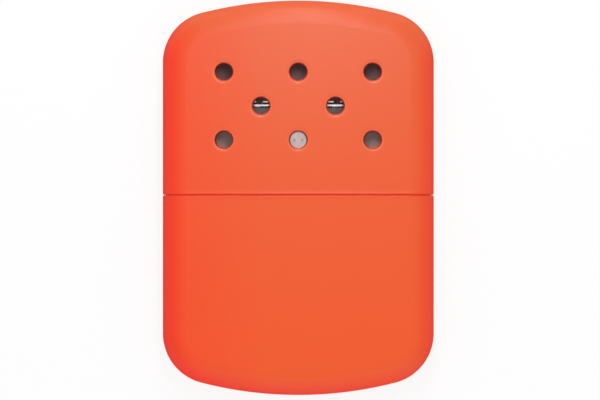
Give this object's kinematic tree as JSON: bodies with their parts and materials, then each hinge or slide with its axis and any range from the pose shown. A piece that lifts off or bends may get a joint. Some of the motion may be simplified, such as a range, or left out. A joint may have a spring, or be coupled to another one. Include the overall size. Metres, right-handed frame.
{
  "type": "catalytic hand warmer",
  "caption": "Flat pocket catalytic hand warmer with rounded ends: a vented lid slips off a wadded fuel tank, over an oval filler neck and a lift-off burner.",
  "frame": {"origin": "middle of the flat back face, on which the warmer lies", "axes": "+X across the width to the right, +Y along the length towards the vented lid's end, +Z out of the vented front face"},
  "size_m": [0.068, 0.099, 0.013],
  "materials": {
    "painted_shell": "soft fine-textured orange-red coating, dull red primer inside",
    "nickel_plate": "satin nickel plate",
    "burner_nickel": "satin nickel plate, faintly straw-tinted by heat",
    "steel_wire": "plain wire and strip",
    "glass_fibre": "matt grey coated fibre mat",
    "cotton": "loose cotton wadding",
    "felt": "pressed felt"
  },
  "bodies": {
    "case": {"lower_case": "painted_shell", "tank_cap": "nickel_plate", "filler_neck": "nickel_plate", "felt_pad": "felt", "cotton_pad_top": "cotton", "cotton_pad_back": "cotton", "cotton_pad_middle": "cotton", "cotton_pad_front": "cotton"},
    "burner": {"burner_sleeve": "burner_nickel", "burner_cage": "burner_nickel", "support_gauze": "steel_wire", "catalyst_mat": "glass_fibre", "mat_ring": "steel_wire", "cross_wire_left": "steel_wire", "cross_wire_middle": "steel_wire", "cross_wire_right": "steel_wire"},
    "lid": {"lid_shell": "painted_shell"}
  },
  "joints": [
    {"name": "lid_slide", "type": "slide", "parent": "case", "child": "lid", "axis": [0, 1, 0], "range_m": [0, 0.03]},
    {"name": "burner_slide", "type": "slide", "parent": "case", "child": "burner", "axis": [0, 1, 0], "range_m": [0, 0.007]}
  ]
}
